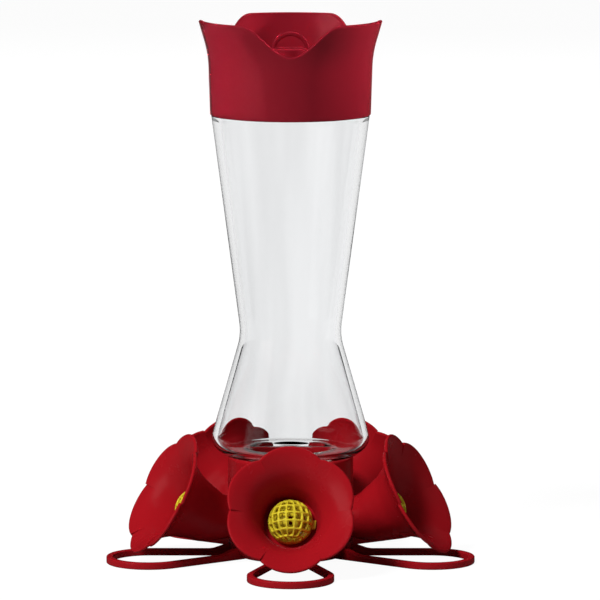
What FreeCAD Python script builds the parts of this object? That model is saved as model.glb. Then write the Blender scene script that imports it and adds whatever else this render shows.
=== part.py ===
import FreeCAD, Part
import math
import os

# Pinch-waist hummingbird feeder: a glass bottle under a moat cap, on a base with five flowers.
# Millimetres, +Z up. The origin is on the feeder's axis, in the tray's flat underside, which it stands on.
# The front flower faces -Y, and the others follow every fifth of a turn.

V = FreeCAD.Vector
UP = V(0, 0, 1)
CENTRE = V(0, 0, 0)

# Ports: five flowers round the hub, tilted up so that the nectar stays in
port_count = 5
port_radius = 50.1
port_height = 25.75
port_tilt = 28.0

# Perch loops, moulded on the tray
perch_end_centre = 55.5
perch_end_radius = 16.1
perch_bar_width = 2.5
perch_bar_height = 2.6
perch_foot_spread = 4.9
perch_foot_sink = 4.0
perch_gusset_height = 4.4
perch_gusset_length = 7.0
perch_gusset_round = 12.0

# Nectar tray
hub_radius = 23.6
tray_floor_thickness = 1.6
tray_wall = 1.3
tray_height = 6.3
tray_corner_radius = 5.0
tray_ledge_width = 2.1
tray_ledge_rise = 1.8
tray_floor_corner = 0.8
tray_fit = 0.1

# Seal between the tray and the cover
seal_width = 1.6
seal_height = 1.2

# Base cover: the hub with its bottle socket and five horns
cover_wall = 1.6
cover_rim_wall = 1.5
cover_floor_height = 20.8
cover_edge_radius = 1.2
cover_shoulder_rise = 1.5
socket_radius = 17.7
socket_wall = 1.6
drain_radius = 11.0
foot_gap = 0.3
horn_root_depth = 3.0
horn_hub_radius = 7.3
horn_bore_radius = 6.2
horn_hub_height = 15.6
horn_wall = 1.5

# Flowers: the distances back are measured along the flower's axis from its rim plane
petal_count = 6
petal_tip_radius = 24.7
petal_notch_radius = 22.8
petal_wall = 1.3
flower_seat_back = 18.0
flower_tail_radius = 10.6
bell_low_radius = 11.7
bell_low_share = 0.76
bell_middle_radius = 13.3
bell_middle_share = 0.52
bell_high_radius = 17.0
bell_high_share = 0.24
bell_lip_radius = 22.1
bell_lip_share = 0.065
bell_end_radius = 26.3
throat_floor = 1.4
spigot_radius = 8.2
spigot_length = 3.2
spigot_fit = 0.05
spigot_end_gap = 0.4

# Bee guards: yellow lattice domes in the throats
guard_radius = 8.35
guard_wall = 1.1
guard_ring_height = 1.6
guard_plug_radius = 6.6
guard_plug_length = 3.0
guard_plug_wall = 1.0
guard_fit = 0.08
guard_bar = 0.85
guard_pitch = 22.5
guard_tab_width = 3.5
guard_tab_reach = 1.0
guard_tab_turn = 6.0

# Glass bottle
glass_wall = 2.0
foot_height = 38.5
foot_flat_radius = 25.0
foot_round = 3.0
heel_radius = 30.45
heel_height = 42.5
heel_round = 5.6
pinch_radius = 18.6
pinch_height = 83.7
pinch_round = 22.0
shoulder_radius = 29.6
shoulder_height = 166.6
finish_length = 11.0
finish_corner = 4.4
neck_radius = 16.5
neck_length = 14.0
neck_wall = 2.2
lip_round = 0.8

# Gasket under the neck
gasket_inner_radius = 12.2
gasket_height = 2.0
gasket_fit = 0.1

# Moat cap, pressed over the top of the bottle: its four heights are above that top
cap_skirt_radius = 30.0
cap_wall = 1.6
cap_fit = 0.1
cap_flare_height = 11.9
cap_flare_radius = 30.7
cap_rim_height = 24.5
cap_rim_radius = 34.4
cap_flare_round = 40.0
cap_rim_round = 0.7
moat_floor_height = 2.4
moat_floor_thickness = 1.8
rim_notch_count = 3
rim_notch_depth = 11.5
rim_notch_half_angle = 34.0
boss_radius = 6.9
boss_height = 13.85
loop_rise = 6.1
loop_half_width = 7.0
loop_bar = 1.5
loop_depth = 3.6

# Shared by the mouldings: rounded edges and corners, and how far a cutter runs past its work
edge_round = 0.5
corner_round = 1.0
cut_margin = 5.0

# Heights above the origin that follow from the sizes
bottle_top = shoulder_height + finish_length
flare_level = bottle_top + cap_flare_height
rim_level = bottle_top + cap_rim_height
moat_level = bottle_top + moat_floor_height
boss_level = bottle_top + boss_height


def offset_path(points, distance):
    """Move an open (r, z) path sideways, to the left of its direction, keeping its corners sharp."""
    moved = []
    for (r0, z0), (r1, z1) in zip(points, points[1:]):
        length = math.hypot(r1 - r0, z1 - z0)
        dr = -(z1 - z0) / length * distance
        dz = (r1 - r0) / length * distance
        moved.append(((r0 + dr, z0 + dz), (r1 + dr, z1 + dz)))
    path = [moved[0][0]]
    for (a, b), (c, d) in zip(moved, moved[1:]):
        ux, uz = b[0] - a[0], b[1] - a[1]
        wx, wz = d[0] - c[0], d[1] - c[1]
        cross = ux * wz - uz * wx
        along = ((c[0] - a[0]) * wz - (c[1] - a[1]) * wx) / cross
        path.append((a[0] + along * ux, a[1] + along * uz))
    path.append(moved[-1][1])
    return path


def rounded_edges(corners):
    """Edges through (r, z, radius) corners in the XZ plane, each corner rounded by its radius."""
    points = [V(r, 0, z) for r, z, _ in corners]
    edges = []
    last = points[0]
    for before, corner, after, (_, _, radius) in zip(points, points[1:], points[2:], corners[1:]):
        if not radius:
            edges.append(Part.makeLine(last, corner))
            last = corner
            continue
        back = (before - corner).normalize()
        ahead = (after - corner).normalize()
        half = back.getAngle(ahead) / 2
        start = corner + back * (radius / math.tan(half))
        end = corner + ahead * (radius / math.tan(half))
        middle = corner + (back + ahead).normalize() * (radius / math.sin(half) - radius)
        edges.append(Part.makeLine(last, start))
        edges.append(Part.Arc(start, middle, end).toShape())
        last = end
    edges.append(Part.makeLine(last, points[-1]))
    return edges


def turned(corners):
    """A solid of revolution about the feeder's axis from a closed loop of (r, z, radius) corners."""
    closed = corners + [corners[0]]
    face = Part.Face(Part.Wire(rounded_edges(closed)))
    return face.revolve(CENTRE, UP, 360)


def port_angle(index):
    return index * 360.0 / port_count


def at_port(shape, index):
    """Place a shape modelled on its own flower axis (+Z outwards, +Y up) at one port."""
    placed = shape.copy()
    placed.rotate(CENTRE, V(1, 0, 0), 90 - port_tilt)
    placed.translate(V(0, -port_radius, port_height))
    placed.rotate(CENTRE, UP, port_angle(index))
    return placed


def axis_point(back):
    """Radius and height of a point on the flower's axis, a distance back from the rim plane."""
    tilt = math.radians(port_tilt)
    return port_radius - back * math.cos(tilt), port_height - back * math.sin(tilt)


def glass_bottle():
    """Blown bottle, upside down: closed end under the cap, pinched waist, rounded heel and neck."""
    finish_radius = cap_skirt_radius - cap_wall - cap_fit
    top = bottle_top
    lip = foot_height - neck_length
    outside = [
        (0, top, 0),
        (finish_radius, top, finish_corner),
        (finish_radius, shoulder_height, 0),
        (shoulder_radius, shoulder_height, edge_round),
        (pinch_radius, pinch_height, pinch_round),
        (heel_radius, heel_height, heel_round),
        (foot_flat_radius, foot_height, foot_round),
        (neck_radius, foot_height, corner_round),
        (neck_radius, lip, lip_round),
    ]
    shape = turned(outside + [(0, lip, 0)])
    side = [(r, z) for r, z, _ in outside[3:8]]
    inner_side = offset_path(side, -glass_wall)
    bore = neck_radius - neck_wall
    under_lip = lip - cut_margin
    inside = [
        (0, top - glass_wall, 0),
        (finish_radius - glass_wall, top - glass_wall, finish_corner - glass_wall),
        (finish_radius - glass_wall, shoulder_height - glass_wall, corner_round),
        (inner_side[1][0], inner_side[1][1], pinch_round + glass_wall),
        (inner_side[2][0], inner_side[2][1], heel_round - glass_wall),
        (inner_side[3][0], inner_side[3][1], foot_round - glass_wall),
        (bore, foot_height + glass_wall, corner_round + glass_wall),
        (bore, under_lip, 0),
        (0, under_lip, 0),
    ]
    return shape.cut(turned(inside))


def moat_cap():
    """One moulding: skirt over the bottle, cup for water that keeps ants off, boss and hanging eye."""
    skirt_inside = cap_skirt_radius - cap_wall
    outside = [
        (cap_skirt_radius, shoulder_height),
        (cap_flare_radius, flare_level),
        (cap_rim_radius, rim_level),
    ]
    inside = offset_path(outside, cap_wall)
    rise = (moat_level - inside[0][1]) / (inside[1][1] - inside[0][1])
    floor_radius = inside[0][0] + rise * (inside[1][0] - inside[0][0])
    under_floor = moat_level - moat_floor_thickness
    body = turned([
        (skirt_inside, shoulder_height, 0),
        (cap_skirt_radius, shoulder_height, edge_round),
        (cap_flare_radius, flare_level, cap_flare_round),
        (cap_rim_radius, rim_level, cap_rim_round),
        (inside[2][0], rim_level, cap_rim_round),
        (inside[1][0], inside[1][1], cap_flare_round - cap_wall),
        (floor_radius, moat_level, corner_round),
        (boss_radius, moat_level, corner_round),
        (boss_radius, boss_level, edge_round),
        (0, boss_level, 0),
        (0, boss_level - moat_floor_thickness, 0),
        (boss_radius - cap_wall, boss_level - moat_floor_thickness, corner_round),
        (boss_radius - cap_wall, under_floor, 0),
        (skirt_inside, under_floor, 0),
    ])
    for index in range(rim_notch_count):
        cutter = rim_notch()
        cutter.rotate(CENTRE, UP, index * 360.0 / rim_notch_count)
        body = body.cut(cutter)
    return body.fuse(hanging_loop()).removeSplitter()


def rim_notch():
    """A bell-shaped dip between two petals of the rim, as a cutter pushed out along -Y."""
    half_width = cap_rim_radius * math.sin(math.radians(rim_notch_half_angle))
    steps = 12
    curve = []
    for i in range(steps + 1):
        share = 2.0 * i / steps - 1
        drop = rim_notch_depth * (1 + math.cos(math.pi * share)) / 2
        curve.append(V(half_width * share, 0, rim_level - drop))
    above = V(0, 0, cut_margin)
    left, right = curve[0], curve[-1]
    top = Part.makePolygon([right, right + above, left + above, left])
    face = Part.Face(Part.Wire([smooth_curve(curve).toShape()] + top.Edges))
    return face.extrude(V(0, -2 * cap_rim_radius, 0))


def hanging_loop():
    """Half-round eye standing on the boss, for the hook that the feeder hangs from."""
    radius = (loop_half_width ** 2 + loop_rise ** 2) / (2 * loop_rise)
    centre = V(0, -loop_depth / 2, boss_level + loop_rise - radius)
    along = V(0, 1, 0)
    disc = Part.makeCylinder(radius, loop_depth, centre, along)
    hole = Part.makeCylinder(radius - loop_bar, loop_depth, centre, along)
    left, near = -loop_half_width, -loop_depth / 2
    root = boss_level - edge_round
    keep = Part.makeBox(2 * loop_half_width, loop_depth, 2 * radius, V(left, near, root))
    clear = Part.makeBox(2 * loop_half_width, loop_depth, 2 * radius, V(left, near, boss_level))
    return disc.common(keep).cut(hole.common(clear))


def bottle_gasket():
    """Soft ring between the bottle's lip and the floor of the socket."""
    seat = foot_height - neck_length - gasket_height
    outer = socket_radius - gasket_fit
    ring = Part.makeCylinder(outer, gasket_height, V(0, 0, seat))
    return ring.cut(Part.makeCylinder(gasket_inner_radius, gasket_height, V(0, 0, seat)))


def horn_sections(hub_end_radius, socket_end_radius, seat_end_radius):
    """Circles along the front horn: inside the hub wall, halfway, behind the spigot and at the seat."""
    root = hub_radius - horn_root_depth
    socket_end = flower_seat_back + spigot_length + spigot_end_gap
    behind = axis_point(socket_end)
    seat = axis_point(flower_seat_back)
    halfway = ((root + behind[0]) / 2, (horn_hub_height + behind[1]) / 2)
    stations = [
        ((root, horn_hub_height), 0, hub_end_radius),
        (halfway, port_tilt / 2, (hub_end_radius + socket_end_radius) / 2),
        (behind, port_tilt, socket_end_radius),
        (seat, port_tilt, seat_end_radius),
    ]
    wires = []
    for (along, height), tilt, radius in stations:
        lean = math.radians(tilt)
        normal = V(0, -math.cos(lean), math.sin(lean))
        circle = Part.Circle(V(0, -along, height), normal, radius)
        wires.append(Part.Wire(circle.toShape()))
    return wires


def horn_outside():
    around_spigot = spigot_radius + spigot_fit + horn_wall
    return Part.makeLoft(horn_sections(horn_hub_radius, around_spigot, flower_tail_radius), True, False)


def horn_passage():
    return Part.makeLoft(horn_sections(horn_bore_radius, horn_bore_radius, horn_bore_radius), True, False)


def spigot_socket():
    depth = spigot_length + spigot_end_gap
    return Part.makeCylinder(spigot_radius + spigot_fit, depth, V(0, 0, -flower_seat_back - depth))


def base_cover():
    """Upper moulding of the base: hub wall, bottle socket, drain hole and five horns."""
    rim_bottom = tray_floor_thickness + tray_ledge_rise + seal_height
    rim_outer = hub_radius - tray_wall - tray_fit
    rim_inner = rim_outer - cover_rim_wall
    chamber = hub_radius - cover_wall
    top = foot_height - foot_gap
    seat = foot_height - neck_length - gasket_height
    pocket_top = top - cover_wall
    sleeve = socket_radius + socket_wall
    body = turned([
        (rim_inner, rim_bottom, 0),
        (rim_outer, rim_bottom, edge_round),
        (rim_outer, tray_height, 0),
        (hub_radius, tray_height, edge_round),
        (hub_radius, top, cover_edge_radius),
        (socket_radius, top, edge_round),
        (socket_radius, seat, 0),
        (drain_radius, seat, 0),
        (drain_radius, cover_floor_height, 0),
        (sleeve, cover_floor_height, 0),
        (sleeve, pocket_top, corner_round),
        (chamber, pocket_top, corner_round),
        (chamber, tray_height + cover_shoulder_rise, 0),
        (rim_inner, tray_height, 0),
    ])
    core = Part.makeCylinder(chamber, top, CENTRE)
    horn = horn_outside().cut(core)
    passage = horn_passage()
    socket_cut = spigot_socket()
    for index in range(port_count):
        placed = horn.copy()
        placed.rotate(CENTRE, UP, port_angle(index))
        body = body.fuse(placed)
    for index in range(port_count):
        placed = passage.copy()
        placed.rotate(CENTRE, UP, port_angle(index))
        body = body.cut(placed)
        body = body.cut(at_port(socket_cut, index))
    return body


def nectar_tray():
    """Lower moulding: shallow bowl with a ledge for the seal, and five perch loops round it."""
    floor = tray_floor_thickness
    ledge = floor + tray_ledge_rise
    wall_inside = hub_radius - tray_wall
    bowl = turned([
        (0, 0, 0),
        (hub_radius, 0, tray_corner_radius),
        (hub_radius, tray_height, 0),
        (wall_inside, tray_height, 0),
        (wall_inside, ledge, 0),
        (wall_inside - tray_ledge_width, ledge, 0),
        (wall_inside - tray_ledge_width - tray_floor_corner, floor, 0),
        (0, floor, 0),
    ])
    loop = perch_loop()
    for index in range(port_count):
        placed = loop.copy()
        placed.rotate(CENTRE, UP, port_angle(index))
        bowl = bowl.fuse(placed)
    inside_bowl = Part.makeCylinder(wall_inside, tray_height, V(0, 0, ledge))
    return bowl.cut(inside_bowl).removeSplitter()


def loop_outline(inset):
    """Plan of one perch loop: a round end at -Y and two straight arms that close in to the hub."""
    radius = perch_end_radius - inset
    foot_along = hub_radius - perch_foot_sink
    reach = perch_end_centre - foot_along
    spread = perch_foot_spread - inset
    gap = math.hypot(reach, spread)
    lean = math.asin(radius / gap) - math.atan2(spread, reach)
    touch_x = radius * math.cos(lean)
    touch_y = -(perch_end_centre - radius * math.sin(lean))
    left_foot = V(-spread, -foot_along, 0)
    right_foot = V(spread, -foot_along, 0)
    left = V(-touch_x, touch_y, 0)
    right = V(touch_x, touch_y, 0)
    end = V(0, -(perch_end_centre + radius), 0)
    arc = Part.Arc(left, end, right).toShape()
    edges = [Part.makeLine(left_foot, left), arc, Part.makeLine(right, right_foot)]
    edges.append(Part.makeLine(right_foot, left_foot))
    return Part.Face(Part.Wire(edges))


def perch_loop():
    height = perch_gusset_height
    ring = loop_outline(0).extrude(V(0, 0, height))
    ring = ring.cut(loop_outline(perch_bar_width).extrude(V(0, 0, height)))
    gusset_end = hub_radius + perch_gusset_length
    near = hub_radius - 2 * tray_wall
    far = perch_end_centre + perch_end_radius + cut_margin
    under = turned([
        (near, 0, 0),
        (far, 0, 0),
        (far, perch_bar_height, 0),
        (gusset_end, perch_bar_height, perch_gusset_round),
        (near + tray_wall, height, 0),
        (near, height, 0),
    ])
    return ring.common(under)


def tray_seal():
    """Soft ring on the tray's ledge, pressed by the cover's rim."""
    ledge = tray_floor_thickness + tray_ledge_rise
    outer = hub_radius - tray_wall - tray_fit
    ring = Part.makeCylinder(outer, seal_height, V(0, 0, ledge))
    return ring.cut(Part.makeCylinder(outer - seal_width, seal_height, V(0, 0, ledge)))


def smooth_curve(points):
    spline = Part.BSplineCurve()
    spline.interpolate(points)
    return spline


def bell_curves():
    """The bell's outer and inner lines, a wall apart, from the seat to just beyond the petal tips."""
    points = [
        V(flower_tail_radius, 0, -flower_seat_back),
        V(bell_low_radius, 0, -bell_low_share * flower_seat_back),
        V(bell_middle_radius, 0, -bell_middle_share * flower_seat_back),
        V(bell_high_radius, 0, -bell_high_share * flower_seat_back),
        V(bell_lip_radius, 0, -bell_lip_share * flower_seat_back),
        V(bell_end_radius, 0, 0),
    ]
    outer = smooth_curve(points)
    inner_points = []
    for point in points:
        along = outer.tangent(outer.parameter(point))[0]
        inner_points.append(point + V(-along.z, 0, along.x) * petal_wall)
    inner_points[0].z = points[0].z
    return outer, smooth_curve(inner_points)


def petal_outline():
    """Six round lobes that meet in notches, seen along the flower's axis."""
    half = math.radians(180.0 / petal_count)
    tip, notch = petal_tip_radius, petal_notch_radius
    lobe_centre = (tip ** 2 - notch ** 2) / (2 * (tip - notch * math.cos(half)))
    edges = []
    for index in range(petal_count):
        middle = half + index * 2 * half
        start = V(notch * math.cos(middle - half), notch * math.sin(middle - half), 0)
        top = V(tip * math.cos(middle), tip * math.sin(middle), 0)
        end = V(notch * math.cos(middle + half), notch * math.sin(middle + half), 0)
        edges.append(Part.Arc(start, top, end).toShape())
    return Part.Face(Part.Wire(edges))


def flower(index):
    """One flower: a flared bell cut into six petals, a floor for the bee guard and a spigot."""
    outer, inner = bell_curves()
    outer_edge = outer.toShape()
    inner_edge = inner.toShape()
    lip = Part.makeLine(outer.EndPoint, inner.EndPoint)
    tail = Part.makeLine(inner.StartPoint, outer.StartPoint)
    bell = Part.Face(Part.Wire([outer_edge, lip, inner_edge, tail])).revolve(CENTRE, UP, 360)
    petals = petal_outline().extrude(V(0, 0, 4 * flower_seat_back))
    petals.translate(V(0, 0, -2 * flower_seat_back))
    bell = bell.common(petals)
    floor_back = -flower_seat_back
    floor = Part.makeCylinder(flower_tail_radius - petal_wall / 2, throat_floor, V(0, 0, floor_back))
    spigot = Part.makeCylinder(spigot_radius, spigot_length, V(0, 0, floor_back - spigot_length))
    bore_radius = guard_plug_radius + guard_fit
    through = spigot_length + throat_floor
    bore = Part.makeCylinder(bore_radius, through, V(0, 0, floor_back - spigot_length))
    whole = bell.fuse([floor, spigot]).cut(bore)
    return at_port(whole.removeSplitter(), index)


def guard_window(longitude, latitude, pitch):
    """A four-sided tapered cutter through the dome, aimed from its centre."""
    half_bar = guard_bar / guard_radius / 2
    half_width = math.radians(pitch) / 2 * math.cos(math.radians(latitude)) - half_bar
    half_height = math.radians(guard_pitch) / 2 - half_bar
    wires = []
    for depth in (guard_radius - 3 * guard_wall, guard_radius + 3 * guard_wall):
        w = depth * math.tan(half_width)
        h = depth * math.tan(half_height)
        corners = [V(-w, -h, depth), V(w, -h, depth), V(w, h, depth), V(-w, h, depth)]
        wires.append(Part.makePolygon(corners + [corners[0]]))
    cutter = Part.makeLoft(wires, True, True)
    cutter.rotate(CENTRE, V(1, 0, 0), -latitude)
    cutter.rotate(CENTRE, V(0, 1, 0), longitude)
    return cutter


def bee_guard(index):
    """Yellow dome of bars over the throat, on a ring with a snap tab and a short plug."""
    seat = -flower_seat_back + throat_floor
    dome_centre = V(0, 0, seat + guard_ring_height)
    ball = Part.makeSphere(guard_radius, CENTRE, UP, 0, 90, 360)
    hollow = Part.makeSphere(guard_radius - guard_wall)
    dome = ball.cut(hollow)
    windows = []
    for row in (-3, -2, -1, 0, 1, 2, 3):
        crowded = abs(row) == 3
        columns = (-1, 0, 1) if crowded else (-3, -2, -1, 0, 1, 2, 3)
        pitch = 2 * guard_pitch if crowded else guard_pitch
        for column in columns:
            windows.append(guard_window(column * pitch, row * guard_pitch, pitch))
    dome = dome.cut(windows)
    dome.translate(dome_centre)
    ring = Part.makeCylinder(guard_radius, guard_ring_height, V(0, 0, seat))
    plug = Part.makeCylinder(guard_plug_radius, guard_plug_length, V(0, 0, seat - guard_plug_length))
    tab_root = guard_radius - guard_wall
    tab_corner = V(tab_root, -guard_tab_width / 2, seat)
    tab = Part.makeBox(guard_tab_reach + guard_wall, guard_tab_width, guard_ring_height, tab_corner)
    tab.rotate(CENTRE, UP, -guard_tab_turn)
    bore_length = guard_plug_length + guard_ring_height
    bore_end = V(0, 0, seat - guard_plug_length)
    bore = Part.makeCylinder(guard_plug_radius - guard_plug_wall, bore_length, bore_end)
    whole = dome.fuse([ring, plug, tab]).cut(bore)
    return at_port(whole.removeSplitter(), index)


def main():
    nodes = {
        "glass_bottle": glass_bottle(),
        "moat_cap": moat_cap(),
        "bottle_gasket": bottle_gasket(),
        "base_cover": base_cover(),
        "tray_seal": tray_seal(),
        "nectar_tray": nectar_tray(),
    }
    for index in range(port_count):
        nodes["flower_%d" % (index + 1)] = flower(index)
        nodes["bee_guard_%d" % (index + 1)] = bee_guard(index)
    os.makedirs("parts", exist_ok=True)
    for name, shape in nodes.items():
        solids = shape.Solids
        box = shape.BoundBox
        print("%-14s solids %d valid %s volume %.1f faces %d  z %.2f to %.2f" % (
            name, len(solids), shape.isValid(), shape.Volume, len(shape.Faces), box.ZMin, box.ZMax))
        shape.exportStep("parts/%s.step" % name)


main()
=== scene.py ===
import math
import bmesh
import bpy
from mathutils import Matrix, Vector, geometry


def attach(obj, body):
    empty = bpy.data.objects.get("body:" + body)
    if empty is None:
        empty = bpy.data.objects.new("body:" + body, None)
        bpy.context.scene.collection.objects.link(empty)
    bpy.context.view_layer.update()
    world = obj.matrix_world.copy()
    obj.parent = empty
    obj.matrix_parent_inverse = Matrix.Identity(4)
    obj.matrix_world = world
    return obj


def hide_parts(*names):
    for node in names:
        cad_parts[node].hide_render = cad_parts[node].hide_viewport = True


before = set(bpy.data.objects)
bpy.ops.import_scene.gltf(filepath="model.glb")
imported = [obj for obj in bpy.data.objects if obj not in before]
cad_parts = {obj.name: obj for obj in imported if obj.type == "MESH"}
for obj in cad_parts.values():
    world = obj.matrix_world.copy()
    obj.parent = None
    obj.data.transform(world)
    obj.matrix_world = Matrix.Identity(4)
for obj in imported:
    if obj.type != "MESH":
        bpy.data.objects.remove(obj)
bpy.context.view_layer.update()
scene = bpy.context.scene
mm = 0.001

# The studio: a white floor and a white room, which gloss mirrors as dim. The key lamp and a panel that
# gloss mirrors stand at the left in front, softer lamps at the right and behind, and two narrow ones
# light the cap's sides.
camera_place = Vector((0, -2000, 367.8)) * mm
camera_pitch = math.radians(82.3)
frame_pixels = 600
focal_pixels = 5383.6
axis_pixel_u = 290.5
axis_pixel_v = 298.2
key_place = Vector((-0.95, -1.02, 1.60))
fill_place = Vector((1.7, -0.5, 1.0))
rear_place = Vector((0.2, 1.7, 1.1))
panel_place = Vector((-1.5, -0.9, 0.7))
lamp_target = Vector((0, 0, 0.1))
cap_light_place = Vector((1.3, 0.35, 0.75))
cap_light_target = Vector((0, 0, 0.25))
room_light = 0.11
room_edge_white = 0.4
floor_reach = 14.0
floor_grey = 0.42
floor_mirror_dimming = 0.85
floor_white = 1.19
floor_white_share = 0.8


class Number:
    """A number socket that takes part in sums, so that shader maths reads as arithmetic."""

    def __init__(self, tree, socket):
        self.tree = tree
        self.socket = socket

    def sum(self, operation, left, right):
        node = self.tree.nodes.new("ShaderNodeMath")
        node.operation = operation
        for place, value in zip(node.inputs, (left, right)):
            if isinstance(value, Number):
                self.tree.links.new(value.socket, place)
            else:
                place.default_value = value
        return Number(self.tree, node.outputs[0])

    def __add__(self, other):
        return self.sum("ADD", self, other)

    def __radd__(self, other):
        return self.sum("ADD", other, self)

    def __sub__(self, other):
        return self.sum("SUBTRACT", self, other)

    def __rsub__(self, other):
        return self.sum("SUBTRACT", other, self)

    def __mul__(self, other):
        return self.sum("MULTIPLY", self, other)

    def __rmul__(self, other):
        return self.sum("MULTIPLY", other, self)

    def larger(self, other):
        return self.sum("MAXIMUM", self, other)

    def above(self, other):
        return self.sum("GREATER_THAN", self, other)


class Shader:
    """One node tree, with a single way to add any node to it."""

    def __init__(self, owner):
        owner.use_nodes = True
        self.tree = owner.node_tree
        self.tree.nodes.clear()

    def add(self, kind, settings=None, **values):
        node = self.tree.nodes.new(kind)
        for name, value in (settings or {}).items():
            setattr(node, name, value)
        for name, value in values.items():
            spot = int(name[1:]) if name[0] == "_" else name.replace("_", " ")
            self.put(node.inputs[spot], value)
        return node

    def put(self, spot, value):
        if isinstance(value, Number):
            value = value.socket
        if isinstance(value, bpy.types.NodeSocket):
            self.tree.links.new(value, spot)
        else:
            spot.default_value = value

    def number(self, socket):
        return Number(self.tree, socket)

    def ends_in(self, kind, surface):
        self.tree.links.new(surface, self.add(kind).inputs["Surface"])


def ray_kinds(shader):
    """1 for rays that see the room plainly, also through glass, that glass has mirrored, and from gloss."""
    path = shader.add("ShaderNodeLightPath")
    names = ("Is Camera Ray", "Is Transmission Ray", "Is Glossy Ray", "Ray Depth", "Transmission Depth")
    camera, glass, gloss, depth, glass_depth = [shader.number(path.outputs[name]) for name in names]
    turned = (depth - glass_depth).above(0.5)
    return camera.larger(glass * (1 - turned)), glass * turned, gloss


def risen(shader, value, start, end, low=0.0):
    """A smooth rise of a value from low to 1 between two places."""
    rise = shader.add("ShaderNodeMapRange", {"interpolation_type": "SMOOTHSTEP"}, Value=value,
                      From_Min=start, From_Max=end, To_Min=low, To_Max=1.0)
    return shader.number(rise.outputs[0])


def make_camera():
    data = bpy.data.cameras.new("camera")
    camera = bpy.data.objects.new("camera", data)
    scene.collection.objects.link(camera)
    camera.location = camera_place
    camera.rotation_euler = (camera_pitch, 0, 0)
    data.sensor_width = 36
    data.lens = focal_pixels / frame_pixels * data.sensor_width
    data.shift_x = 0.5 - axis_pixel_u / frame_pixels
    data.shift_y = axis_pixel_v / frame_pixels - 0.5
    data.clip_start = 0.1
    data.clip_end = 60
    scene.camera = camera


def make_lamp(name, place, size, watts, mirrored=True, target=lamp_target, spread=180):
    data = bpy.data.lights.new(name, "AREA")
    data.shape = "RECTANGLE"
    data.size, data.size_y = size
    data.energy = watts
    data.spread = math.radians(spread)
    lamp = bpy.data.objects.new(name, data)
    scene.collection.objects.link(lamp)
    lamp.location = place
    lamp.visible_glossy = mirrored
    lamp.visible_transmission = mirrored
    lamp.rotation_euler = (target - place).to_track_quat("-Z", "Y").to_euler()


def make_room():
    world = bpy.data.worlds.new("room")
    scene.world = world
    shader = Shader(world)
    plain, glass, gloss = ray_kinds(shader)
    way = shader.add("ShaderNodeTexCoord").outputs["Generated"]
    back = shader.add("ShaderNodeSeparateXYZ", Vector=way).outputs["Y"]
    edge = glass * risen(shader, back, 0.8, 0.97) * room_edge_white
    strength = plain.larger(edge + (1 - gloss.larger(glass)) * room_light)
    light = shader.add("ShaderNodeBackground", Color=(1, 1, 1, 1), Strength=strength)
    shader.ends_in("ShaderNodeOutputWorld", light.outputs[0])


def make_floor():
    mesh = bpy.data.meshes.new("floor")
    corners = [(x * floor_reach, y * floor_reach, 0) for x, y in ((-1, -1), (1, -1), (1, 1), (-1, 1))]
    mesh.from_pydata(corners, [], [(0, 1, 2, 3)])
    floor = bpy.data.objects.new("floor", mesh)
    scene.collection.objects.link(floor)
    material = bpy.data.materials.new("floor_white")
    mesh.materials.append(material)
    shader = Shader(material)
    plain, glass, gloss = ray_kinds(shader)
    place = shader.add("ShaderNodeTexCoord").outputs["Object"]
    back = shader.add("ShaderNodeSeparateXYZ", Vector=place).outputs["Y"]
    matt = shader.add("ShaderNodeBsdfDiffuse",
                      Color=floor_grey * (1 - gloss.larger(glass) * floor_mirror_dimming))
    white = shader.add("ShaderNodeEmission", Color=(1, 1, 1, 1), Strength=floor_white)
    share = plain.larger(glass * risen(shader, back, 0.03, 0.12)) * floor_white_share
    mixed = shader.add("ShaderNodeMixShader", _0=share, _1=matt.outputs[0], _2=white.outputs[0])
    shader.ends_in("ShaderNodeOutputMaterial", mixed.outputs[0])


scene.view_settings.view_transform = "Standard"
make_camera()
make_room()
make_floor()
make_lamp("key", key_place, (0.5, 0.5), 40, mirrored=False)
make_lamp("fill", fill_place, (1.2, 1.2), 3.0, mirrored=False)
make_lamp("rear", rear_place, (1.6, 1.6), 14.0, mirrored=False)
make_lamp("panel", panel_place, (0.9, 1.3), 4.5)
for side, watts in ((1, 0.29), (-1, 0.18)):
    place = Vector((side * cap_light_place.x, cap_light_place.y, cap_light_place.z))
    make_lamp("cap_light", place, (0.16, 0.16), watts, mirrored=False, target=cap_light_target, spread=10)


# The bottle: blown clear glass stood on its neck, one wall all over, with a pinched waist, a rolled
# heel and a raised screw thread round the neck. It screws down into the base.
glass_tint = (0.96, 0.965, 0.97)
glass_wall = 2.0
neck_radius = 16.5
neck_wall = 2.2
lip_height = 24.5
foot_height = 38.5
foot_flat_radius = 25.0
foot_round = 3.0
heel_radius = 30.45
heel_height = 42.5
heel_round = 5.6
pinch_radius = 18.6
pinch_height = 83.7
pinch_round = 22.0
shoulder_radius = 29.6
shoulder_height = 166.6
bottle_top = 177.6
finish_radius = 28.3
finish_corner = 4.4
thread_pitch = 4.0
thread_turns = 1.5
thread_rise = 0.9
thread_half_width = 1.1
thread_root_sink = 0.3
thread_above_lip = 3.0


def rounded_path(corners, steps=8):
    """Points along (r, z, radius) corners, each corner turned into an arc of its radius."""
    path = [Vector(corners[0][:2])]
    for before, corner, after in zip(corners, corners[1:], corners[2:]):
        middle = Vector(corner[:2])
        radius = corner[2]
        if not radius:
            path.append(middle)
            continue
        back = (Vector(before[:2]) - middle).normalized()
        ahead = (Vector(after[:2]) - middle).normalized()
        half = back.angle(ahead) / 2
        centre = middle + (back + ahead).normalized() * (radius / math.sin(half))
        start = middle + back * (radius / math.tan(half)) - centre
        end = middle + ahead * (radius / math.tan(half)) - centre
        turn = start.angle_signed(end)
        for i in range(steps + 1):
            part = -turn * i / steps
            path.append(centre + Matrix.Rotation(part, 2) @ start)
    path.append(Vector(corners[-1][:2]))
    return path


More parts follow.
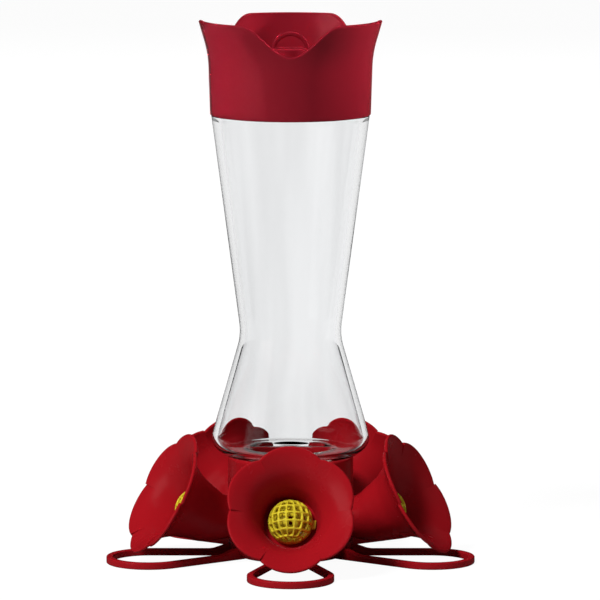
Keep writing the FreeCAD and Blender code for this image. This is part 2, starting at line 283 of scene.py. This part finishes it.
def offset_corners(corners, distance):
    """The same corners moved sideways by a distance, to the left of the way they run."""
    lines = []
    for a, b in zip(corners, corners[1:]):
        along = (Vector(b[:2]) - Vector(a[:2])).normalized()
        side = Vector((-along.y, along.x)) * distance
        lines.append((Vector(a[:2]) + side, Vector(b[:2]) + side))
    moved = [lines[0][0]]
    for (a, b), (c, d) in zip(lines, lines[1:]):
        moved.append(geometry.intersect_line_line(a.to_3d(), b.to_3d(), c.to_3d(), d.to_3d())[0].to_2d())
    moved.append(lines[-1][1])
    return moved


def new_piece(name, mesh, material, angle=35):
    """An object for a mesh in metres, shaded smooth but for edges sharper than the angle."""
    made = bmesh.new()
    made.from_mesh(mesh)
    bmesh.ops.remove_doubles(made, verts=made.verts, dist=0.002 * mm)
    bmesh.ops.dissolve_degenerate(made, edges=made.edges, dist=0.0005 * mm)
    bmesh.ops.recalc_face_normals(made, faces=made.faces)
    for edge in made.edges:
        edge.smooth = len(edge.link_faces) == 2 and edge.calc_face_angle() < math.radians(angle)
    for face in made.faces:
        face.smooth = True
    made.to_mesh(mesh)
    made.free()
    mesh.materials.clear()
    mesh.materials.append(material)
    piece = bpy.data.objects.new(name, mesh)
    scene.collection.objects.link(piece)
    return piece


def spun(name, path, segments=144):
    """A mesh turned round the feeder's axis from an (r, z) path in millimetres."""
    points = []
    for i in range(segments):
        turn = 2 * math.pi * i / segments
        points += [(p.x * math.cos(turn) * mm, p.x * math.sin(turn) * mm, p.y * mm) for p in path]
    rows = len(path)
    faces = []
    for i in range(segments):
        here, there = i * rows, (i + 1) % segments * rows
        faces += [(here + k, there + k, there + k + 1, here + k + 1) for k in range(rows - 1)]
    mesh = bpy.data.meshes.new(name)
    mesh.from_pydata(points, [], faces)
    return mesh


def subdivided(path, longest):
    """The same path with points added on its long runs."""
    dense = [path[0]]
    for a, b in zip(path, path[1:]):
        pieces = max(1, math.ceil((b - a).length / longest))
        dense += [a.lerp(b, i / pieces) for i in range(1, pieces + 1)]
    return dense


def clear_glass():
    """Soda glass with the faint long waves that blowing leaves in it, and darker vertical streaks in its
    tint that are a painted reflection.
    """
    material = bpy.data.materials.new("clear_glass")
    shader = Shader(material)
    place = shader.add("ShaderNodeTexCoord").outputs["Object"]
    stretched = shader.add("ShaderNodeMapping", Vector=place, Scale=(1, 1, 0.22))
    waves = shader.add("ShaderNodeTexNoise", Vector=stretched.outputs[0], Scale=48.0, Detail=1.5)
    bump = shader.add("ShaderNodeBump", Height=waves.outputs[0], Strength=0.35, Distance=0.0006)
    patches = shader.add("ShaderNodeTexNoise", Vector=place, Scale=120.0, Detail=3.0)
    rough = shader.number(patches.outputs[0]) * 0.012
    # Painted reflection: darker vertical streaks in the tint stand in for the grey reflections that run
    # down the wall.
    drawn = shader.add("ShaderNodeMapping", Vector=place, Scale=(1, 1, 0.05))
    painted_reflection_streaks = shader.add("ShaderNodeTexNoise", Vector=drawn.outputs[0], Scale=75.0, Detail=2.0)
    clear = risen(shader, painted_reflection_streaks.outputs[0], 0.35, 0.6, 0.93)
    tinted = shader.add("ShaderNodeVectorMath", {"operation": "SCALE"}, _0=glass_tint, Scale=clear)
    body = shader.add("ShaderNodeBsdfPrincipled", Base_Color=tinted.outputs[0], Roughness=rough,
                      IOR=1.25, Transmission_Weight=1.0, Normal=bump.outputs[0])
    shader.ends_in("ShaderNodeOutputMaterial", body.outputs[0])
    return material


def glass_bottle(material):
    """The bottle's whole wall, turned from its outer line and the same line a wall further in."""
    side = [
        (shoulder_radius, shoulder_height, 0.5),
        (pinch_radius, pinch_height, pinch_round),
        (heel_radius, heel_height, heel_round),
        (foot_flat_radius, foot_height, foot_round),
        (neck_radius, foot_height, 1.0),
    ]
    outside = [
        (0, bottle_top, 0),
        (finish_radius, bottle_top, finish_corner),
        (finish_radius, shoulder_height, 0),
        *side,
        (neck_radius, lip_height, 0.8),
    ]
    inner = offset_corners(side, -glass_wall)
    bore = neck_radius - neck_wall
    inner_top = bottle_top - glass_wall
    inner_finish = finish_radius - glass_wall
    inside = [
        (bore, lip_height, 0.8),
        (bore, foot_height + glass_wall, 3.0),
        (*inner[3], foot_round - glass_wall),
        (*inner[2], heel_round - glass_wall),
        (*inner[1], pinch_round + glass_wall),
        (inner_finish, shoulder_height - glass_wall, 1.0),
        (inner_finish, inner_top, finish_corner - glass_wall),
        (0, inner_top, 0),
    ]
    path = subdivided(rounded_path(outside + inside, 10), 3.0)
    return new_piece("glass_bottle_wall", spun("glass_bottle_wall", path, 192), material, 60)


def bar_mesh(name, points, size):
    """A closed bar through rings of points, each ring of the same size."""
    rings = len(points) // size
    faces = []
    for i in range(rings - 1):
        for k in range(size):
            here, there = size * i, size * (i + 1)
            following = (k + 1) % size
            faces.append((here + k, here + following, there + following, there + k))
    faces.append(tuple(range(size - 1, -1, -1)))
    faces.append(tuple(size * (rings - 1) + k for k in range(size)))
    mesh = bpy.data.meshes.new(name)
    mesh.from_pydata(points, [], faces)
    return mesh


def neck_thread(material):
    """A raised helical ridge with tapered ends, part of the glass of the neck."""
    steps = 108
    start = lip_height + thread_above_lip
    points = []
    for i in range(steps + 1):
        share = i / steps
        turn = 2 * math.pi * thread_turns * share
        fade = min(1.0, share * 8, (1 - share) * 8)
        height = start + thread_pitch * thread_turns * share
        root = neck_radius - thread_root_sink
        crest = neck_radius + thread_rise * fade
        section = ((root, -1.0), (crest, -0.35), (crest, 0.35), (root, 1.0))
        for radius, across in section:
            spot = (radius * math.cos(turn), radius * math.sin(turn), height + across * thread_half_width)
            points.append(Vector(spot) * mm)
    return new_piece("neck_thread", bar_mesh("neck_thread", points, len(section)), material, 40)


glass = clear_glass()
bottle = glass_bottle(glass)
thread = neck_thread(glass)
for piece in (bottle, thread):
    piece.visible_shadow = False
    piece.visible_diffuse = False
    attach(piece, "bottle")
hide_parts("glass_bottle")


# The moat cap: one glossy red moulding pressed over the top of the bottle. Its cup holds water that
# keeps ants away, its rim flares into three petals, and the eye on its boss takes the hook.
cap_skirt_radius = 30.0
cap_wall = 1.6
cap_flare_height = 189.5
cap_flare_radius = 30.7
cap_flare_round = 40.0
cap_rim_height = 202.1
cap_rim_radius = 34.4
cap_lip_round = 0.62
rim_notch_depth = 11.5
rim_notch_half_angle = math.radians(34)
rim_petals = 3
moat_floor_height = 180.0
moat_floor_thickness = 1.8
boss_radius = 6.9
boss_height = 191.45
loop_rise = 6.1
loop_half_width = 7.0
loop_bar = 1.5
loop_depth = 3.6
cap_red = (0.225, 0.008, 0.017)


def moulded_plastic(name, colour, roughness, gloss, grain=1.0):
    """Polished injection moulding: faint flow clouds in the colour, fine ripple and softer patches."""
    material = bpy.data.materials.new(name)
    shader = Shader(material)
    place = shader.add("ShaderNodeTexCoord").outputs["Object"]
    clouds = shader.add("ShaderNodeTexNoise", Vector=place, Scale=38.0, Detail=3.0, Roughness=0.6)
    shade = shader.number(clouds.outputs[0]) * 0.16 + 0.92
    tinted = shader.add("ShaderNodeVectorMath", {"operation": "SCALE"}, _0=colour, Scale=shade)
    ripple = shader.add("ShaderNodeTexNoise", Vector=place, Scale=420.0, Detail=2.0)
    speck = shader.add("ShaderNodeTexNoise", Vector=place, Scale=2600.0, Detail=1.0)
    relief = shader.number(ripple.outputs[0]) + shader.number(speck.outputs[0]) * 0.12
    bump = shader.add("ShaderNodeBump", Height=relief, Strength=0.22 * grain, Distance=0.00012)
    smudge = shader.add("ShaderNodeTexNoise", Vector=place, Scale=75.0, Detail=4.0, Roughness=0.65)
    rough = shader.number(smudge.outputs[0]) * 0.12 + (roughness - 0.06)
    body = shader.add("ShaderNodeBsdfPrincipled", Base_Color=tinted.outputs[0], Roughness=rough, IOR=1.47,
                      Specular_IOR_Level=gloss, Normal=bump.outputs[0])
    shader.ends_in("ShaderNodeOutputMaterial", body.outputs[0])
    return material


def repeat_round():
    """A tree that sets copies of its mesh in a ring round +Z, welds them and gives them a material."""
    tree = bpy.data.node_groups.new("repeat_round", "GeometryNodeTree")
    face = tree.interface
    face.new_socket("Geometry", in_out="INPUT", socket_type="NodeSocketGeometry")
    count = face.new_socket("Copies", in_out="INPUT", socket_type="NodeSocketInt")
    weld = face.new_socket("Weld distance", in_out="INPUT", socket_type="NodeSocketFloat")
    skin = face.new_socket("Material", in_out="INPUT", socket_type="NodeSocketMaterial")
    face.new_socket("Geometry", in_out="OUTPUT", socket_type="NodeSocketGeometry")
    nodes, links = tree.nodes, tree.links
    start = nodes.new("NodeGroupInput")
    line = nodes.new("GeometryNodeMeshLine")
    line.inputs["Offset"].default_value = (0, 0, 0)
    links.new(start.outputs["Copies"], line.inputs["Count"])
    share = nodes.new("ShaderNodeMath")
    share.operation = "DIVIDE"
    share.inputs[0].default_value = 2 * math.pi
    links.new(start.outputs["Copies"], share.inputs[1])
    turn = nodes.new("ShaderNodeMath")
    turn.operation = "MULTIPLY"
    links.new(nodes.new("GeometryNodeInputIndex").outputs[0], turn.inputs[0])
    links.new(share.outputs[0], turn.inputs[1])
    spin = nodes.new("ShaderNodeCombineXYZ")
    links.new(turn.outputs[0], spin.inputs["Z"])
    copies = nodes.new("GeometryNodeInstanceOnPoints")
    links.new(line.outputs[0], copies.inputs["Points"])
    links.new(start.outputs["Geometry"], copies.inputs["Instance"])
    links.new(spin.outputs[0], copies.inputs["Rotation"])
    real = nodes.new("GeometryNodeRealizeInstances")
    links.new(copies.outputs[0], real.inputs[0])
    merge = nodes.new("GeometryNodeMergeByDistance")
    links.new(real.outputs[0], merge.inputs["Geometry"])
    links.new(start.outputs["Weld distance"], merge.inputs["Distance"])
    paint = nodes.new("GeometryNodeSetMaterial")
    links.new(merge.outputs[0], paint.inputs["Geometry"])
    links.new(start.outputs["Material"], paint.inputs["Material"])
    end = nodes.new("NodeGroupOutput")
    links.new(paint.outputs[0], end.inputs["Geometry"])
    return tree, {"copies": count.identifier, "weld": weld.identifier, "skin": skin.identifier}


ring_tree, ring_inputs = repeat_round()


def ring_of(mesh, copies, material):
    """Copies of a mesh round the axis as one plain mesh."""
    carrier = bpy.data.objects.new("ring", mesh)
    scene.collection.objects.link(carrier)
    modifier = carrier.modifiers.new("ring", "NODES")
    modifier.node_group = ring_tree
    modifier[ring_inputs["copies"]] = copies
    modifier[ring_inputs["weld"]] = 0.003 * mm
    modifier[ring_inputs["skin"]] = material
    carrier.update_tag()
    view = bpy.context.evaluated_depsgraph_get()
    made = bpy.data.meshes.new_from_object(carrier.evaluated_get(view))
    carrier.modifiers.clear()
    bpy.data.objects.remove(carrier)
    return made


def at_height(path, height):
    """The radius at which a rising path passes a height."""
    for a, b in zip(path, path[1:]):
        if a.y <= height <= b.y:
            return a.x + (b.x - a.x) * (height - a.y) / max(b.y - a.y, 1e-9)
    return path[-1].x


def rim_height(turn, wall):
    """Height of the cap's edge at an angle from the middle of a notch, which is cut straight across."""
    half_width = cap_rim_radius * math.sin(rim_notch_half_angle)
    height = cap_rim_height
    for _ in range(6):
        across = at_height(wall, height) * math.sin(turn) / half_width
        if abs(across) >= 1 or abs(turn) > math.pi / 2:
            return cap_rim_height
        height = cap_rim_height - rim_notch_depth * (1 + math.cos(math.pi * across)) / 2
    return height


def cap_column(turn, outer, inner):
    """One upright line of points round the whole section of the cap, from under its floor to its boss."""
    skirt_inside = cap_skirt_radius - cap_wall
    under = moat_floor_height - moat_floor_thickness
    edge_out = rim_height(turn, outer) - cap_lip_round
    edge_in = rim_height(turn, inner) - cap_lip_round
    hollow = boss_radius - cap_wall
    below = [
        (0, boss_height - moat_floor_thickness, 0),
        (hollow, boss_height - moat_floor_thickness, 1.0),
        (hollow, under, 0),
        (skirt_inside, under, 0.6),
        (skirt_inside, shoulder_height, 0),
        (cap_skirt_radius, shoulder_height, 0.45),
        (at_height(outer, shoulder_height + 2), shoulder_height + 2, 0),
    ]
    column = rounded_path(below, 4)
    rows = 34
    low = shoulder_height + 2
    for i in range(1, rows + 1):
        height = low + (edge_out - low) * i / rows
        column.append(Vector((at_height(outer, height), height)))
    out_top = Vector((at_height(outer, edge_out), edge_out))
    in_top = Vector((at_height(inner, edge_in), edge_in))
    rise = Vector((0, cap_lip_round))
    sideways = Vector((cap_lip_round, 0))
    for i in range(1, 6):
        lean = math.pi / 2 * i / 5
        column.append(out_top - sideways * (1 - math.cos(lean)) + rise * math.sin(lean))
    for i in range(0, 5):
        lean = math.pi / 2 * (1 - i / 5)
        column.append(in_top + sideways * (1 - math.cos(lean)) + rise * math.sin(lean))
    foot = moat_floor_height + 1.2
    rows = 26
    for i in range(rows + 1):
        height = edge_in + (foot - edge_in) * i / rows
        column.append(Vector((at_height(inner, height), height)))
    floor_radius = at_height(inner, moat_floor_height)
    inside = [
        (at_height(inner, foot), foot, 0),
        (floor_radius, moat_floor_height, 1.0),
        (boss_radius, moat_floor_height, 1.0),
        (boss_radius, boss_height, 0.5),
        (0, boss_height, 0),
    ]
    column += rounded_path(inside, 5)[1:]
    return column


def moat_cap(material):
    """A third of the cap, centred on a petal, set three times round the axis."""
    wall = [
        (cap_skirt_radius, shoulder_height, 0),
        (cap_flare_radius, cap_flare_height, cap_flare_round),
        (cap_rim_radius, cap_rim_height, 0),
    ]
    outer = rounded_path(wall, 12)
    inner_wall = offset_corners(wall, cap_wall)
    inner_round = cap_flare_round - cap_wall
    inner = rounded_path([(*inner_wall[0], 0), (*inner_wall[1], inner_round), (*inner_wall[2], 0)], 12)
    steps = 96
    third = 2 * math.pi / rim_petals
    points = []
    for i in range(steps + 1):
        turn = third * (i / steps - 0.5)
        column = cap_column(turn, outer, inner)
        around = turn - math.pi / 2
        points += [Vector((p.x * math.cos(around), p.x * math.sin(around), p.y)) * mm for p in column]
    rows = len(column)
    faces = []
    for i in range(steps):
        here, there = i * rows, (i + 1) * rows
        faces += [(here + k, there + k, there + k + 1, here + k + 1) for k in range(rows - 1)]
    mesh = bpy.data.meshes.new("moat_cap_third")
    mesh.from_pydata(points, [], faces)
    return new_piece("moat_cap_moulding", ring_of(mesh, rim_petals, material), material, 50)


def swept(name, frames, section):
    """A bar with one section, set at each frame of (centre, across, up) along its line."""
    points = []
    for centre, across, up in frames:
        points += [(centre + across * a + up * b) * mm for a, b in section]
    return bar_mesh(name, points, len(section))


def rounded_box(width, height, radius, steps=4):
    """Corners of a rectangle with rounded edges, centred on its middle."""
    corners = []
    for quarter in range(4):
        sign_a = 1 if quarter in (0, 3) else -1
        sign_b = 1 if quarter in (0, 1) else -1
        for i in range(steps + 1):
            turn = math.pi / 2 * (quarter + i / steps)
            corners.append((sign_a * (width / 2 - radius) + radius * math.cos(turn),
                            sign_b * (height / 2 - radius) + radius * math.sin(turn)))
    return corners


def hanging_loop(material):
    """The half-round eye that stands on the boss."""
    radius = (loop_half_width ** 2 + loop_rise ** 2) / (2 * loop_rise)
    centre_height = boss_height + loop_rise - radius
    middle = radius - loop_bar / 2
    foot = math.asin((boss_height - 0.4 - centre_height) / middle)
    steps = 40
    frames = []
    for i in range(steps + 1):
        turn = foot + (math.pi - 2 * foot) * i / steps
        outwards = Vector((math.cos(turn), 0, math.sin(turn)))
        frames.append((Vector((0, 0, centre_height)) + outwards * middle, outwards, Vector((0, 1, 0))))
    mesh = swept("hanging_loop", frames, rounded_box(loop_bar, loop_depth, 0.42))
    return new_piece("hanging_loop", mesh, material, 50)


cap_plastic = moulded_plastic("crimson_cap_plastic", cap_red, 0.25, 0.2)
cap = moat_cap(cap_plastic)
loop = hanging_loop(cap_plastic)
for piece in (cap, loop):
    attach(piece, "bottle")
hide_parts("moat_cap")


# The seals: soft cream rings, one under the bottle's lip and one on the tray's ledge. They are
# cut from silicone sheet, so they are matt and a little cloudy, and lie loose in their seats.
seal_colour = (0.74, 0.72, 0.66)


def silicone():
    """Cloudy soft rubber with a dusty surface."""
    material = bpy.data.materials.new("cloudy_silicone")
    shader = Shader(material)
    place = shader.add("ShaderNodeTexCoord").outputs["Object"]
    cloud = shader.add("ShaderNodeTexNoise", Vector=place, Scale=160.0, Detail=4.0)
    shade = shader.number(cloud.outputs[0]) * 0.2 + 0.88
    tinted = shader.add("ShaderNodeVectorMath", {"operation": "SCALE"}, _0=seal_colour, Scale=shade)
    dust = shader.add("ShaderNodeTexNoise", Vector=place, Scale=1400.0, Detail=2.0)
    bump = shader.add("ShaderNodeBump", Height=dust.outputs[0], Strength=0.3, Distance=0.0001)
    rough = shader.number(cloud.outputs[0]) * 0.2 + 0.45
    body = shader.add("ShaderNodeBsdfPrincipled", Base_Color=tinted.outputs[0], Roughness=rough,
                      Normal=bump.outputs[0])
    shader.ends_in("ShaderNodeOutputMaterial", body.outputs[0])
    return material


def dress(node, material):
    """Give a node of the frame a material in place of its plain one."""
    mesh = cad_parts[node].data
    mesh.materials.clear()
    mesh.materials.append(material)


seal_rubber = silicone()
dress("bottle_gasket", seal_rubber)
dress("tray_seal", seal_rubber)


# The base cover: a glossy red moulding with the bottle's socket in its top and five short horns,
# whose ends carry the flowers. It snaps over the tray's rim.
red = (0.35, 0.0065, 0.0115)
red_plastic = moulded_plastic("glossy_red_plastic", red, 0.26, 0.2)
dress("base_cover", red_plastic)


# The flowers: five glossy red trumpets, moulded one by one and pushed into the horns. Each flares
# into six round petals, and each petal's edge lies a little over the next one's, like a pinwheel.
port_count = 5
port_radius = 50.1
port_height = 25.75
port_tilt = math.radians(28)
petal_count = 6
petal_tip_radius = 24.7
petal_notch_radius = 22.8
petal_wall = 1.3
petal_step = 0.85
petal_step_start = 17.5
flower_seat_back = 18.0
flower_tail_radius = 10.6
throat_floor = 1.4
spigot_radius = 8.2
spigot_length = 3.2
guard_bore_radius = 6.68
bell_stations = [(10.6, 1.0), (11.7, 0.76), (13.3, 0.52), (17.0, 0.24), (22.1, 0.065), (26.3, 0.0)]


def port_matrix(index):
    """From a flower's own axes, +Z outwards and +Y up, to its port on the base."""
    turn = Matrix.Rotation(2 * math.pi * index / port_count, 4, "Z")
    place = Matrix.Translation(Vector((0, -port_radius, port_height)) * mm)
    return turn @ place @ Matrix.Rotation(math.pi / 2 - port_tilt, 4, "X")


def bell_line():
    """The outer line of the bell in millimetres, a smooth curve through its stations."""
    points = [Vector((radius, -share * flower_seat_back)) for radius, share in bell_stations]
    ends = [points[0] * 2 - points[1]] + points + [points[-1] * 2 - points[-2]]
    line = []
    for before, a, b, after in zip(ends, ends[1:], ends[2:], ends[3:]):
        leave = a + (b - before) / 6
        arrive = b - (after - a) / 6
        line += geometry.interpolate_bezier(a, leave, arrive, b, 13)[:-1]
    line.append(points[-1])
    return [Vector(p[:2]) for p in line]


def lobe_radius(turn):
    """Radius of the petals' outline at an angle from a petal's middle."""
    half = math.pi / petal_count
    tip, notch = petal_tip_radius, petal_notch_radius
    centre = (tip ** 2 - notch ** 2) / (2 * (tip - notch * math.cos(half)))
    lobe = tip - centre
    return centre * math.cos(turn) + math.sqrt(lobe ** 2 - (centre * math.sin(turn)) ** 2)


def petal_column(turn, line, lean):
    """A line of points round the petal's section, tilted by its lean on the way to the rim."""
    reach = lobe_radius(turn) - petal_wall / 2
    outer = []
    for a, b in zip(line, line[1:]):
        outer.append(a)
        if b.x >= reach:
            outer.append(a.lerp(b, (reach - a.x) / (b.x - a.x)))
            break
    dense = subdivided(outer, 0.9)
    rows = 40
    outer = [dense[round(i * (len(dense) - 1) / rows)] for i in range(rows + 1)]
    normals = []
    for i, point in enumerate(outer):
        along = (outer[min(i + 1, rows)] - outer[max(i - 1, 0)]).normalized()
        normals.append(Vector((-along.y, along.x)))
    normals[0] = Vector((-1, 0))
    shifted = []
    for point, normal in zip(outer, normals):
        rise = max(0.0, (point.x - petal_step_start) / (petal_tip_radius - petal_step_start))
        smooth = rise * rise * (3 - 2 * rise)
        shifted.append(point + Vector((0, 1)) * lean * petal_step / 2 * smooth)
    inner = [point + normal * petal_wall for point, normal in zip(shifted, normals)]
    inner[0].y = shifted[0].y + throat_floor
    edge = shifted[-1]
    side = normals[-1]
    ahead = Vector((side.y, -side.x))
    middle = edge + side * petal_wall / 2
    lip = []
    for i in range(1, 8):
        angle = math.pi * i / 8
        lip.append(middle + (ahead * math.sin(angle) - side * math.cos(angle)) * petal_wall / 2)
    seat = -flower_seat_back
    floor = seat + throat_floor
    inside = [p for p in inner if p.y > floor + 0.25]
    inside = [inner[rows - round(i * (len(inside) - 1) / rows)] for i in range(rows + 1)]
    back = rounded_path([
        (inside[-1].x, floor, 0),
        (guard_bore_radius, floor, 0.2),
        (guard_bore_radius, seat - spigot_length, 0.2),
        (spigot_radius, seat - spigot_length, 0.3),
        (spigot_radius, seat, 0),
        (flower_tail_radius, seat, 0),
    ], 3)
    return shifted + lip + inside + back[:-1]


def flower_mesh(material):
    """One petal's sixth of the flower, with the step down to its neighbour, set six times round."""
    line = bell_line()
    half = math.pi / petal_count
    steps = 26
    turns = [(half * (2 * i / steps - 1), 2 * i / steps - 1) for i in range(steps + 1)]
    turns.append((half, -1.0))
    points = []
    for turn, lean in turns:
        column = petal_column(turn, line, lean)
        around = turn + half
        points += [Vector((p.x * math.cos(around), p.x * math.sin(around), p.y)) * mm for p in column]
    rows = len(column)
    faces = []
    for i in range(len(turns) - 1):
        here, there = i * rows, (i + 1) * rows
        faces += [(here + k, there + k, there + (k + 1) % rows, here + (k + 1) % rows) for k in range(rows)]
    mesh = bpy.data.meshes.new("petal")
    mesh.from_pydata(points, [], faces)
    return ring_of(mesh, petal_count, material)


petals = flower_mesh(red_plastic)
for index in range(port_count):
    mesh = petals.copy()
    mesh.transform(port_matrix(index))
    name = "flower_%d" % (index + 1)
    piece = new_piece(name + "_petals", mesh, red_plastic, 32)
    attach(piece, "cover")
    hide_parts(name)


# The bee guards: yellow domes of fine bars over the throats, moulded in one piece with a ring, a
# snap tab and a short plug. A hummingbird's tongue passes the slots and a bee does not.
guard_radius = 8.35
guard_wall = 1.1
guard_ring_height = 1.6
guard_plug_radius = 6.6
guard_plug_wall = 1.0
guard_plug_length = 3.0
guard_bar = math.radians(5.8)
guard_pitch = math.radians(22.5)
guard_windows = 7
guard_tab_width = 3.5
guard_tab_reach = 1.0
guard_tab_turn = math.radians(-6)
guard_backing_gap = 1.6
guard_backing_wall = 0.5
yellow = (0.70, 0.58, 0.03)


def bar_edges():
    """Angles of the bars' edges from one side of the dome to the other."""
    half = guard_pitch * guard_windows / 2
    edges = [-math.pi / 2]
    for k in range(guard_windows + 1):
        middle = guard_pitch * k - half
        edges += [middle - guard_bar / 2, middle + guard_bar / 2]
    return edges + [math.pi / 2]


def dome_point(longitude, latitude, radius):
    """A point of a sphere round the dome's centre, by two angles from the guard's axis."""
    tilted = Matrix.Rotation(-latitude, 3, "X") @ Vector((0, 0, radius))
    return Matrix.Rotation(longitude, 3, "Y") @ tilted


def dome_sheet(name, lines, radius, is_open):
    """Part of a sphere's skin between crossed lines, without the faces that are open."""
    made = bmesh.new()
    centre = Vector((0, 0, guard_ring_height - flower_seat_back + throat_floor))
    spots = {}
    for i, longitude in enumerate(lines):
        for j, latitude in enumerate(lines):
            spots[i, j] = made.verts.new((dome_point(longitude, latitude, radius) + centre) * mm)
    for i in range(len(lines) - 1):
        for j in range(len(lines) - 1):
            if not is_open(i, j):
                made.faces.new((spots[i, j], spots[i + 1, j], spots[i + 1, j + 1], spots[i, j + 1]))
    bmesh.ops.remove_doubles(made, verts=made.verts, dist=0.01 * mm)
    bmesh.ops.recalc_face_normals(made, faces=made.faces)
    mesh = bpy.data.meshes.new(name)
    made.to_mesh(mesh)
    made.free()
    return mesh


def guard_backing():
    """The thin yellow skin close behind the bars, open at the two slots in the middle."""
    edges = bar_edges()
    middle = (len(edges) - 1) // 2
    radius = guard_radius - guard_wall - guard_backing_gap
    slots = ((middle, middle), (middle, middle - 2))
    return dome_sheet("guard_backing", edges, radius, lambda i, j: (i, j) in slots)


def guard_dome():
    """The lattice, each bar and window two faces wide. Near two sides, every other bar is left out."""
    edges = bar_edges()
    lines = []
    for a, b in zip(edges, edges[1:]):
        lines += [a, (a + b) / 2]
    lines.append(edges[-1])
    rim = len(edges) - 2

    def is_window(i, j):
        column, row = i // 2, j // 2
        if row % 2 or not (0 < column < rim and 0 < row < rim):
            return False
        if row in (2, rim - 2):
            return (column - 1) % 4 != 0
        return column % 2 == 0

    return dome_sheet("guard_dome", lines, guard_radius, is_window)


def thickened(mesh, wall, levels):
    """The sheet with a wall put inside it and its edges rounded, as a plain mesh."""
    carrier = bpy.data.objects.new("sheet", mesh)
    scene.collection.objects.link(carrier)
    shell = carrier.modifiers.new("wall", "SOLIDIFY")
    shell.thickness = wall
    shell.offset = -1
    smooth = carrier.modifiers.new("round", "SUBSURF")
    smooth.levels = levels
    smooth.render_levels = levels
    carrier.update_tag()
    view = bpy.context.evaluated_depsgraph_get()
    made = bpy.data.meshes.new_from_object(carrier.evaluated_get(view))
    bpy.data.objects.remove(carrier)
    return made


def guard_ring():
    """Ring and plug, turned round the guard's own axis."""
    seat = -flower_seat_back + throat_floor
    bore = guard_plug_radius - guard_plug_wall
    return spun("guard_ring", rounded_path([
        (guard_radius - guard_wall, seat + guard_ring_height, 0),
        (guard_radius, seat + guard_ring_height, 0.3),
        (guard_radius, seat, 0.3),
        (guard_plug_radius, seat, 0),
        (guard_plug_radius, seat - guard_plug_length, 0.4),
        (bore, seat - guard_plug_length, 0.3),
        (bore, seat + guard_ring_height, 0.3),
        (guard_radius - guard_wall, seat + guard_ring_height, 0),
    ], 4), 64)


def guard_tab():
    """The snap tab at the side of the ring, by which the guard is pulled out."""
    seat = -flower_seat_back + throat_floor
    turn = Matrix.Rotation(guard_tab_turn, 3, "Z")
    frames = []
    for out in (-guard_wall, guard_tab_reach / 2, guard_tab_reach):
        along = guard_radius + out
        centre = turn @ Vector((along, 0, seat + guard_ring_height / 2))
        frames.append((centre, turn @ Vector((0, 1, 0)), Vector((0, 0, 1))))
    return swept("guard_tab", frames, rounded_box(guard_tab_width, guard_ring_height, 0.35))


def joined(name, meshes):
    """One mesh of several."""
    made = bmesh.new()
    for mesh in meshes:
        made.from_mesh(mesh)
    whole = bpy.data.meshes.new(name)
    made.to_mesh(whole)
    made.free()
    return whole


yellow_plastic = moulded_plastic("glossy_yellow_plastic", yellow, 0.28, 0.45, 0.6)
guard_skin = thickened(guard_backing(), guard_backing_wall * mm, 1)
guard_lattice = thickened(guard_dome(), guard_wall * mm, 2)
guard = joined("bee_guard", [guard_lattice, guard_skin, guard_ring(), guard_tab()])
for index in range(port_count):
    mesh = guard.copy()
    mesh.transform(port_matrix(index))
    name = "bee_guard_%d" % (index + 1)
    piece = new_piece(name + "_lattice", mesh, yellow_plastic, 40)
    piece.visible_glossy = False
    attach(piece, "guard_%d" % (index + 1))
    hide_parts(name)


# The nectar tray: a shallow red bowl that closes the base from below, moulded in one with five
# perch loops. Each loop is a flat bar bent round to the hub, thicker where its arms leave the bowl.
hub_radius = 23.6
tray_wall = 1.3
tray_floor = 1.6
tray_height = 6.3
tray_corner = 5.0
tray_ledge_width = 2.1
tray_ledge_rise = 1.8
perch_end_centre = 55.5
perch_end_radius = 16.1
perch_bar_width = 2.5
perch_bar_height = 2.6
perch_foot_spread = 4.9
perch_foot_sink = 4.0
perch_gusset_height = 4.4
perch_gusset_length = 7.0


def tray_bowl():
    """The bowl with the seal's ledge, turned round the feeder's axis."""
    inside = hub_radius - tray_wall
    ledge = tray_floor + tray_ledge_rise
    return spun("tray_bowl", subdivided(rounded_path([
        (0, 0, 0),
        (hub_radius, 0, tray_corner),
        (hub_radius, tray_height, 0.35),
        (inside, tray_height, 0.35),
        (inside, ledge, 0),
        (inside - tray_ledge_width, ledge, 0.3),
        (inside - tray_ledge_width - 0.8, tray_floor, 0),
        (0, tray_floor, 0),
    ], 6), 3.0), 120)


def perch_line():
    """Middle of a perch bar in plan: up one arm, round the end and back down the other arm."""
    radius = perch_end_radius - perch_bar_width / 2
    foot = hub_radius - perch_foot_sink
    reach = perch_end_centre - foot
    spread = perch_foot_spread - perch_bar_width / 2
    lean = math.asin(radius / math.hypot(reach, spread)) - math.atan2(spread, reach)
    touch = Vector((radius * math.cos(lean), -(perch_end_centre - radius * math.sin(lean))))
    arm = [Vector((spread, -foot)).lerp(touch, i / 18) for i in range(18)]
    bend = []
    steps = 40
    for i in range(steps + 1):
        turn = lean - (math.pi + 2 * lean) * i / steps
        bend.append(Vector((radius * math.cos(turn), -perch_end_centre + radius * math.sin(turn))))
    return arm + bend + [Vector((-p.x, p.y)) for p in reversed(arm)]


def perch_loop():
    """One bar, deeper towards the bowl."""
    line = perch_line()
    half_width = perch_bar_width / 2
    points = []
    for i, point in enumerate(line):
        along = (line[min(i + 1, len(line) - 1)] - line[max(i - 1, 0)]).normalized()
        across = Vector((along.y, -along.x))
        share = (hub_radius + perch_gusset_length - point.length) / perch_gusset_length
        share = min(1.0, max(0.0, share))
        smooth = share * share * (3 - 2 * share)
        height = perch_bar_height + (perch_gusset_height - perch_bar_height) * smooth
        for a, b in rounded_box(2 * half_width, height, 0.45):
            spot = point + across * a
            points.append(Vector((spot.x, spot.y, b + height / 2)) * mm)
    return bar_mesh("perch_loop", points, len(points) // len(line))


bowl = new_piece("tray_bowl", tray_bowl(), red_plastic, 40)
loops = new_piece("perch_loops", ring_of(perch_loop(), port_count, red_plastic), red_plastic, 50)
for piece in (bowl, loops):
    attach(piece, "tray")
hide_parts("nectar_tray")
